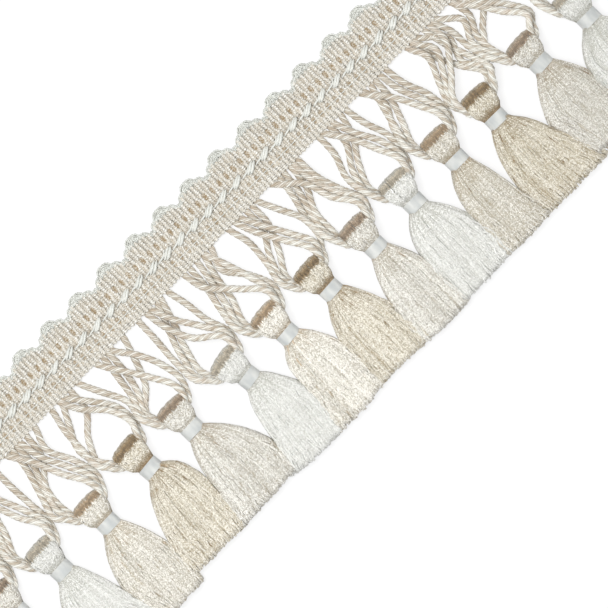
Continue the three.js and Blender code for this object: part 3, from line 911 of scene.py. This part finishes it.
for index in range(TASSEL_COUNT):
    draw = np.random.default_rng(200 + index)
    yarn = YARNS[index % len(YARNS)]
    own_tint = OWN_TINTS.get(index, 0.0)
    outer = np.linspace(0, 1, OUTER_YARNS, endpoint=False) + draw.normal(0, 0.0015, OUTER_YARNS)
    upper = np.sort(draw.uniform(0.03, 0.5, UPPER_YARNS))
    parts = []
    layers = [
        {"fractions": outer % 1, "lift": 0.0, "loose": 1.0, "streaks": 0.9},
        {"fractions": upper, "lift": UPPER_LIFT, "loose": UPPER_LOOSENESS, "streaks": 0.4},
    ]
    for layer in layers:
        count = len(layer["fractions"])
        points, down, joint_shade = skirt_yarns(index, draw, layer["fractions"], layer["lift"], layer["loose"])
        tint = draw.uniform(0, 1, (count, 1)) + own_tint
        # Painted shade: under the binding, in streaks on the yarns that show between others, and where two
        # skirts meet
        dark = np.interp(down, SKIRT_SHADE["down"], SKIRT_SHADE["shade"])
        streak = np.clip(waves(draw, count, down * YARN_LENGTH, SHADED_STREAKS) - 1.2, 0, 1)
        dark = dark + streak * yarn["streaks"] * layer["streaks"] + joint_shade * 0.6
        radii = YARN_RADIUS * draw.uniform(0.85, 1.15, (count, 1))
        parts.append(tube_mesh("skirt", points, radii, 4, {"tint": tint, "dark": dark}))

    points, dark = head_yarns(index, draw)
    tint = draw.uniform(0, 0.6, (HEAD_YARNS, 1)) + own_tint * 0.7
    parts.append(tube_mesh("head", points, HEAD_YARN_RADIUS, 4, {"tint": tint, "dark": dark}))
    points, dark = flecks(index, draw)
    radii = FLECK_RADIUS * draw.uniform(0.8, 1.2, (FLECKS, 1))
    # The loops' higher tint lifts their crimps towards the painted highlight
    tint = draw.uniform(0.6, 1.5, (FLECKS, 1)) + own_tint * 0.7
    parts.append(tube_mesh("flecks", points, radii, 4, {"tint": tint, "dark": dark}))
    # The cut ends take a little painted shade
    parts.append(tube_mesh("stubs", stubs(index, draw), YARN_RADIUS, 4, {"tint": 0.3, "dark": 0.15}))

    core = core_mesh(index)
    # The core shows only between the yarns and is painted in shade there, deeper on yarns with more
    # streaks
    for mark, value in (("tint", 0.2 + own_tint), ("dark", 0.3 + 0.35 * yarn["streaks"])):
        mark_points(core, mark, np.full(len(core.vertices), value))
    parts.append(core)
    piece = link(f"yarn_hank_{index + 1:02d}", joined("hank", parts), yarn_finishes[index % len(YARNS)])
    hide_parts(f"tassel_{index + 1:02d}")

# ---- Neck bindings ----
# A pale, bluish satin thread is wound tight round each neck, turn beside turn. On one tassel its end
# is left loose and lies down the right edge of the skirt.

BINDING_HALF_WIDTH = 5.15
BINDING_HALF_HEIGHT = 4.35
BINDING_MIDDLE = 5.0
BINDING_REACH = 2.75
BINDING_ROUNDNESS = 0.72  # 1 is an ellipse, less is boxier
BINDING_LEAN = 0.7  # of the head's lean
BINDING_TURNS = 13
BINDING_RINGS = BINDING_TURNS * 28
THREAD_RADIUS = 0.27
LOOSE_END = [(5.0, -2.2, 5.0), (5.6, -3.4, 5.2), (7.6, -7.0, 5.6), (9.8, -11.5, 5.4), (11.4, -15.5, 4.6)]
LOOSE_END_TASSEL = 3

binding_finish, paint = new_material("binding_satin")
fine = contrast(grain(paint, 0.5), 0.3, 0.7)
# Wide streaks along the tassel, lighter and greyer, are a painted satin sheen
streak = contrast(grain(paint, 3.0, 2.5, 1.0), 0.32, 0.68)
satin = blended(paint, streak, (0.86, 0.86, 0.845), (0.755, 0.765, 0.76))
binding_colour = blended(paint, fine * 0.3, satin, (0.77, 0.78, 0.765))
finish_surface(paint, binding_colour, fine, relief=0.03, rough=0.34, gloss=0.5, sheen=0.1, sheen_rough=0.4)

turn = np.linspace(0, BINDING_TURNS * math.tau, BINDING_RINGS)
across = BINDING_HALF_WIDTH * signed_power(np.cos(turn), BINDING_ROUNDNESS)
height = BINDING_MIDDLE + BINDING_HALF_HEIGHT * signed_power(np.sin(turn), BINDING_ROUNDNESS)
along = np.linspace(BINDING_REACH, -BINDING_REACH, BINDING_RINGS)
for index, lean in enumerate(LEANS):
    place = turned(heads[index], across, along, math.radians(lean) * BINDING_LEAN)
    winding = np.stack([*place, height], axis=1)
    parts = [tube_mesh("thread", winding[None], THREAD_RADIUS, 4, {})]
    if index == LOOSE_END_TASSEL:
        tail = smooth_route(LOOSE_END, 24) + np.append(necks[index], 0)
        parts.append(tube_mesh("tail", tail[None], THREAD_RADIUS * 1.3, 6, {}))
    piece = link(f"neck_thread_{index + 1:02d}", joined("binding", parts), binding_finish)
    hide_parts(f"neck_binding_{index + 1:02d}")

# ---- Heading: woven ground ----
# The heading is one openwork band. Its ground is a thin tan weave, darker at the two rows of holes,
# where painted shade stands in the recesses, and greyish white in the scallops, of which its upper
# edge has one every 18 mm.

SCALLOP_PITCH = 18.04
HEADING_DEPTH = 24.8  # lower edge to the valleys between scallops
HEADING_LENGTH = heading_high[0] - heading_low[0]
SCALLOP_COUNT = round(HEADING_LENGTH / SCALLOP_PITCH)
SCALLOP_START = -0.55
GROUND_THICKNESS = 1.15
GROUND_HEIGHT = 0.05  # above the table
GROUND_EDGES = (1.1, 0.9)  # how far inside the heading's lower and upper edge the ground ends
HOLE_PITCH = SCALLOP_PITCH / 4
HOLE_START = 1.3  # the first column of holes, from the left end
UPPER_HOLES = {"from": 4.9, "to": 8.5}  # below the valleys
BRAID = {"from": 10.7, "to": 13.9}
LOWER_HOLES = {"from": 15.9, "to": 19.4}
BRAID_PITCH = SCALLOP_PITCH / 2
BRAID_START = HOLE_START - 2.0

# Half of a scallop's outline: across from its middle, and how far it rises above the valleys
SCALLOP = {
    "across": (-9.02, -7.4, -6.9, -6.3, -5.0, -3.9, -3.3, -2.3, -1.0, 0.0),
    "rise": (0.0, 0.1, 1.3, 1.9, 2.3, 2.8, 3.9, 4.8, 5.05, 5.1),
}
# The weave is nowhere quite regular: how far it has moved to the right, along the heading
DRIFT = {
    "x": (0, 40, 160, 190, 205, 235, 310, 360, HEADING_LENGTH),
    "shift": (0, 0.95, 0.9, 0.5, 0.2, -0.1, 0.3, 0.3, 0),
}

draw = np.random.default_rng(5)
lobe_middles = SCALLOP_START + (np.arange(SCALLOP_COUNT + 1) + 0.5) * SCALLOP_PITCH
lobe_middles = lobe_middles + draw.normal(0, 0.25, SCALLOP_COUNT + 1)
lobe_heights = 1.02 - np.abs(draw.normal(0, 0.06, SCALLOP_COUNT + 1))


def scallop_rise(x):
    """How far the upper edge stands above the valleys, x from the left end of the heading."""
    lobe = np.floor((np.asarray(x, float) - SCALLOP_START) / SCALLOP_PITCH).astype(int)
    across = -np.minimum(np.abs(x - lobe_middles[lobe]), SCALLOP_PITCH / 2)
    return eased(across, SCALLOP["across"], SCALLOP["rise"]) * lobe_heights[lobe]


def drifted(x):
    """Where the weave really lies, for an even place x along it."""
    return x + eased(x, DRIFT["x"], DRIFT["shift"])


def on_heading(x, y, z):
    """Points of the heading: x from its left end and y from its lower edge."""
    placed = np.broadcast_arrays(drifted(x) + heading_low[0], y + heading_low[1], z)
    return np.stack(placed, axis=-1)


edge_x = np.linspace(0, HEADING_LENGTH, SCALLOP_COUNT * 16 + 1)
edge_y = HEADING_DEPTH - GROUND_EDGES[1] + scallop_rise(edge_x)
bm = bmesh.new()
rails = []
for border_y in (GROUND_EDGES[0], edge_y):
    verts = [bm.verts.new(place * MM) for place in on_heading(edge_x, border_y, GROUND_HEIGHT)]
    rails += [bm.edges.new(pair) for pair in zip(verts, verts[1:])]
bmesh.ops.bridge_loops(bm, edges=rails)
raised = bmesh.ops.extrude_face_region(bm, geom=bm.faces[:])["geom"]
raised = [part for part in raised if isinstance(part, bmesh.types.BMVert)]
bmesh.ops.translate(bm, verts=raised, vec=(0, 0, GROUND_THICKNESS * MM))
bmesh.ops.recalc_face_normals(bm, faces=bm.faces)


def corner_order(face):
    numbers = [vert.index for vert in face.verts]
    return min(numbers) + max(numbers) * len(bm.verts)


# Extruding leaves the order of the faces to chance, so they are put in that of their corners
bm.verts.index_update()
bm.faces.sort(key=corner_order)
ground_mesh = new_mesh(bm, "ground")
corners = np.array([ground_mesh.vertices[loop.vertex_index].co for loop in ground_mesh.loops]) / MM
even_x = np.interp(corners[:, 0] - heading_low[0], drifted(edge_x), edge_x)
layer = ground_mesh.uv_layers.new(name="weave")
weave_places = np.stack([even_x, corners[:, 1] - heading_low[1]], axis=1)
layer.data.foreach_set("uv", weave_places.reshape(-1))


def stripes(field, pitch, start=0.0):
    """A wave from 0 to 1 along a field, 1 at the start and after each whole pitch."""
    turn = (field - start) * (math.tau / pitch)
    return turn.worked("COSINE", turn) * 0.5 + 0.5


def row_of_holes(y, row, soft=0.4):
    """1 on a row of holes and 0 outside it, with soft edges."""
    low, high = HEADING_DEPTH - row["to"], HEADING_DEPTH - row["from"]
    return contrast(y, low - soft, low + soft) * (1 - contrast(y, high - soft, high + soft))


ground_finish, paint = new_material("heading_ground")
x, y = map_place(paint, "weave")
rungs = stripes(y, 0.9)
gaps = contrast(stripes(x, HOLE_PITCH, HOLE_START), 0.4, 0.7)
rows = row_of_holes(y, UPPER_HOLES) + row_of_holes(y, LOWER_HOLES) * 0.85
speck = contrast(grain(paint, 0.7), 0.4, 0.62)
weave = blended(paint, rungs * 0.6 + speck * 0.4, (0.73, 0.68, 0.60), (0.90, 0.885, 0.845))
# The holes show the tan ground, darkened further by painted shade
holes = blended(paint, gaps * rows * (1 - speck * 0.6), weave, (0.54, 0.46, 0.34))
loops = blended(paint, speck, (0.69, 0.69, 0.65), (0.89, 0.89, 0.86))
in_scallop = contrast(y, HEADING_DEPTH - 0.6, HEADING_DEPTH + 0.6)
ground_colour = blended(paint, in_scallop, holes, loops)
height = rungs * (1 - rows * gaps) + speck * 0.5
finish_surface(paint, ground_colour, height, relief=0.25, rough=0.7, gloss=0.3, sheen=0.2)
ground = link("heading_ground", ground_mesh, ground_finish)
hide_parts("heading")

# ---- Heading: ribs ----
# Chains of small twist stitches run down the heading on its ground, 2.3 mm apart. They stand wider
# apart beside each hole and draw together past it. At the lower edge they rise over the cords that
# start under it, and small loops join their ends.

RIB_PITCH = HOLE_PITCH / 2
RIB_RADIUS = 0.93
RIB_HEIGHT = 1.3
RIB_RINGS = 66
RIB_MARGIN = 0.6  # inside the heading's ends
RIB_TOP = 1.5  # above the valleys at most
RIB_END = 0.6  # above the lower edge
RISE_OVER_CORDS = 2.3
RISE_WITHIN = 4.5  # of the lower edge
STITCH = 1.2
STITCH_SWAY = 0.13
STITCH_LIFT = 0.12
WIDENED = 0.36  # beside a hole
DRAWN = 0.2  # past it
HOLE_END = 0.9  # how far past a hole the ribs are closest
LOOP_RINGS = 9
LOOP_RADIUS = 0.5
LOOP_ROWS = [(1.9, 2.9), (2.8, 2.5), (3.7, 2.0), (4.5, 1.6)]  # above the lower edge, and above the table

draw = np.random.default_rng(7)
rib_x = HOLE_START + RIB_PITCH / 2 + np.arange(-1, round(HEADING_LENGTH / RIB_PITCH) - 1) * RIB_PITCH
rib_x = rib_x[(rib_x > RIB_MARGIN) & (rib_x < HEADING_LENGTH - RIB_MARGIN)]
rib_count = len(rib_x)
tops = HEADING_DEPTH + np.minimum(scallop_rise(rib_x) - 0.9, RIB_TOP + draw.normal(0, 0.25, rib_count))
down = np.linspace(0, 1, RIB_RINGS)
rib_ends = RIB_END + draw.uniform(-0.2, 0.25, (rib_count, 1))
rib_y = tops[:, None] + (rib_ends - tops[:, None]) * down
depth = HEADING_DEPTH - rib_y
beside_hole = np.zeros_like(depth)
past_hole = np.zeros_like(depth)
for row in (UPPER_HOLES, LOWER_HOLES):
    soft_in = np.clip((depth - row["from"]) / 0.8 + 0.5, 0, 1)
    soft_out = np.clip((row["to"] - depth) / 0.8 + 0.5, 0, 1)
    beside_hole += soft_in * soft_out
    for end in (row["from"] - HOLE_END, row["to"] + HOLE_END):
        past_hole += np.exp(-(((depth - end) / HOLE_END) ** 2))
hand = np.where(np.round((rib_x - HOLE_START) / RIB_PITCH - 0.5) % 2 == 0, 1.0, -1.0)[:, None]
stitches = rib_y / STITCH * math.tau + draw.uniform(0, 1.5, (rib_count, 1))
x = rib_x[:, None] + hand * (WIDENED * beside_hole - DRAWN * past_hole) + np.sin(stitches) * STITCH_SWAY
x = x + draw.normal(0, 0.08, rib_y.shape)
near_edge = np.clip(1 - rib_y / RISE_WITHIN, 0, 1)
z = RIB_HEIGHT + RISE_OVER_CORDS * near_edge**1.3 + np.cos(stitches) * STITCH_LIFT - 0.2 * beside_hole
rib_radii = RIB_RADIUS * (1 + 0.15 * np.cos(stitches + 0.6)) * (1 - 0.2 * beside_hole)
rib_radii = rib_radii * (1 + 0.24 * near_edge**0.5) * np.clip((rib_y - rib_ends) / 0.9 + 0.15, 0, 1) ** 0.5
# The thick strands of the braid darken the ribs just above them
beside = (rib_x[:, None] - BRAID_START - 2.2 + BRAID_PITCH / 2) % BRAID_PITCH - BRAID_PITCH / 2
above = (BRAID["from"] + BRAID["to"]) / 2 - 0.6 - depth
shade = 0.75 * np.exp(-((beside / 1.3) ** 2) - (above / 0.9) ** 2)
rib_marks = {"tint": draw.uniform(0, 1, (rib_count, 1)), "hand": hand, "shade": shade}

rib_finish, paint = new_material("heading_yarn")
crimp = contrast(grain(paint, 0.6) + (attribute(paint, "tint") - 0.5) * 0.06, 0.4, 0.6)
around, length = map_place(paint, "thread")
twist = stripes(around + length * attribute(paint, "hand") * (1 / STITCH), 1.0)
rib_colour = blended(paint, crimp, (0.79, 0.77, 0.72), (0.955, 0.95, 0.93))
# Painted shade in the grooves between the twist stitches
groove_shaded = blended(paint, (1 - twist) * 0.45, rib_colour, (0.70, 0.65, 0.56))
shaded = blended(paint, attribute(paint, "shade"), groove_shaded, (0.55, 0.48, 0.38))
finish_surface(paint, shaded, twist * 0.7 + crimp * 0.3, relief=0.2)
rib_mesh = tube_mesh("ribs", on_heading(x, rib_y, z), rib_radii, 4, rib_marks)

turn = np.linspace(0, math.pi, LOOP_RINGS)[None]
x = rib_x[:-1, None] + RIB_PITCH / 2 - RIB_PITCH / 2 * np.cos(turn)
loops = [on_heading(x, y - 0.4 * np.sin(turn), z - 0.5 * np.sin(turn)) for y, z in LOOP_ROWS]
loops = np.concatenate(loops)
loop_marks = {"tint": draw.uniform(0, 1, (len(loops), 1)), "hand": 1.0, "shade": 0.15}
loop_mesh = tube_mesh("loops", loops, LOOP_RADIUS, 4, loop_marks)
rib_piece = link("heading_ribs", joined("ribs", [rib_mesh, loop_mesh]), rib_finish)

# ---- Heading: edges ----
# Fine grey-white loops follow the scallops in rows and fill the round top of each with arcs, one
# inside the next. They are the same yarn as the ribs', but greyer, and beaded by its stitches.

EDGE_RADIUS = 0.48
POINTS_A_SCALLOP = 40
BEAD_PITCH = 1.0
ROWS = [
    {"inset": 0.42, "most": 9.0, "height": 1.2},
    {"inset": 1.15, "most": 1.9, "height": 1.55},
    {"inset": 1.85, "most": 1.1, "height": 1.3},
]
ARCS = [
    {"half": 3.15, "rise": 2.75, "height": 1.5},
    {"half": 2.4, "rise": 2.0, "height": 1.75},
    {"half": 1.6, "rise": 1.3, "height": 1.85},
    {"half": 0.8, "rise": 0.6, "height": 1.9},
]
ARC_MIDDLE = 1.35  # above the valleys
ARC_ENDS = (-12, 192)  # degrees
ARC_RINGS = 18

edge_x = np.linspace(0.3, HEADING_LENGTH - 0.3, SCALLOP_COUNT * POINTS_A_SCALLOP)
beads = edge_x / BEAD_PITCH * math.tau
rows = []
for row in ROWS:
    rise = np.minimum(scallop_rise(edge_x) - row["inset"], row["most"])
    y = HEADING_DEPTH + rise + np.sin(beads + row["inset"]) * 0.1
    z = row["height"] + np.cos(beads + row["inset"]) * 0.15
    rows.append(on_heading(edge_x, y, z + draw.normal(0, 0.05, len(edge_x))))
beaded = EDGE_RADIUS * (1 + 0.2 * np.sin(beads))
edge_meshes = [tube_mesh("edges", rows, beaded[None], 4, {"tint": 0.5})]

arcs = []
turn = np.linspace(*np.radians(ARC_ENDS), ARC_RINGS)
for middle, height in zip(lobe_middles[:SCALLOP_COUNT], lobe_heights):
    for arc in ARCS:
        wobble = draw.normal(0, 0.07, (2, ARC_RINGS))
        x = middle + arc["half"] * np.cos(turn) + wobble[0]
        y = HEADING_DEPTH + (ARC_MIDDLE + arc["rise"] * np.sin(turn)) * height + wobble[1]
        arcs.append(on_heading(x, y, arc["height"]))
edge_meshes.append(tube_mesh("arcs", arcs, EDGE_RADIUS * 0.95, 4, {"tint": 0.4}))

edge_finish, paint = new_material("heading_edge_yarn")
crimp = contrast(grain(paint, 0.55), 0.4, 0.6)
twist = yarn_lines(paint, 1, 1.25)
edge_colour = blended(paint, crimp, (0.69, 0.69, 0.655), (0.90, 0.905, 0.88))
finish_surface(paint, edge_colour, twist * 0.6 + crimp * 0.4, relief=0.15)
edge_piece = link("heading_edges", joined("edges", edge_meshes), edge_finish)

# ---- Heading: braid ----
# Between the two rows of holes, soft white satin strands are couched on in slanted bunches, one long
# and one thick strand every 9 mm. One thin thread runs through the lower holes, under the ribs.

BRAID_HEIGHT = 2.2
BRAID_CROWN = 0.35
# One bunch's strands: points across from its start and up from the braid's middle
STRANDS = [
    {
        "points": [(1.2, -0.9), (2.8, -0.35), (4.2, -0.15), (5.3, 0), (6.8, 1.05), (7.8, 1.75)],
        "radius": 0.52, "lift": 0,
    },
    {
        "points": [(4.6, -1.4), (6.2, -0.45), (7.7, 0.55), (9.3, 1.45), (10.4, 1.95)],
        "radius": 0.8, "lift": 0.2,
    },
    {
        "points": [(5.4, -1.9), (7.1, -1.15), (8.5, -0.25), (10.0, 0.7), (11.0, 1.5)],
        "radius": 0.8, "lift": 0.25,
    },
]
STRAND_RINGS = 18
THREAD_BELOW = 17.9  # below the valleys between scallops
THREAD_HEIGHT = 1.5

braid_middle = HEADING_DEPTH - (BRAID["from"] + BRAID["to"]) / 2
paths, radii = [], []
ends = np.sin(np.linspace(0.1, math.pi - 0.1, STRAND_RINGS)) ** 0.6
for bunch in range(-1, round(HEADING_LENGTH / BRAID_PITCH) + 1):
    start = BRAID_START + bunch * BRAID_PITCH
    for strand in STRANDS:
        route = [(start + x, braid_middle + y, 0) for x, y in strand["points"]]
        path = smooth_route(route, STRAND_RINGS)
        if path[0, 0] < 0.3 or path[-1, 0] > HEADING_LENGTH - 0.3:
            continue
        path[:, :2] += draw.normal(0, 0.12, 2) + draw.normal(0, 0.06, (STRAND_RINGS, 2))
        height = BRAID_HEIGHT + strand["lift"] + BRAID_CROWN * ends
        paths.append(on_heading(path[:, 0], path[:, 1], height))
        radii.append(strand["radius"] * ends * draw.uniform(0.9, 1.1))
strand_mesh = tube_mesh("strands", paths, radii, 6, {})

thread_x = np.linspace(0.5, HEADING_LENGTH - 0.5, 420)
thread_y = HEADING_DEPTH - THREAD_BELOW + 0.12 * np.sin(thread_x / 13)
thread_mesh = tube_mesh("thread", on_heading(thread_x, thread_y, THREAD_HEIGHT)[None], 0.28, 4, {})

braid_finish, paint = new_material("braid_satin")
crimp = contrast(grain(paint, 0.7), 0.38, 0.62)
twist = yarn_lines(paint, 3, 0.25)
braid_colour = blended(paint, crimp * 0.6, (0.865, 0.87, 0.85), (0.77, 0.77, 0.74))
shaded = blended(paint, (1 - twist) * 0.35, braid_colour, (0.72, 0.70, 0.64))
finish_surface(paint, shaded, twist, relief=0.1, rough=0.38, gloss=0.5, sheen=0.1, sheen_rough=0.4)
braid_piece = link("heading_braid", joined("braid", [strand_mesh, thread_mesh]), braid_finish)
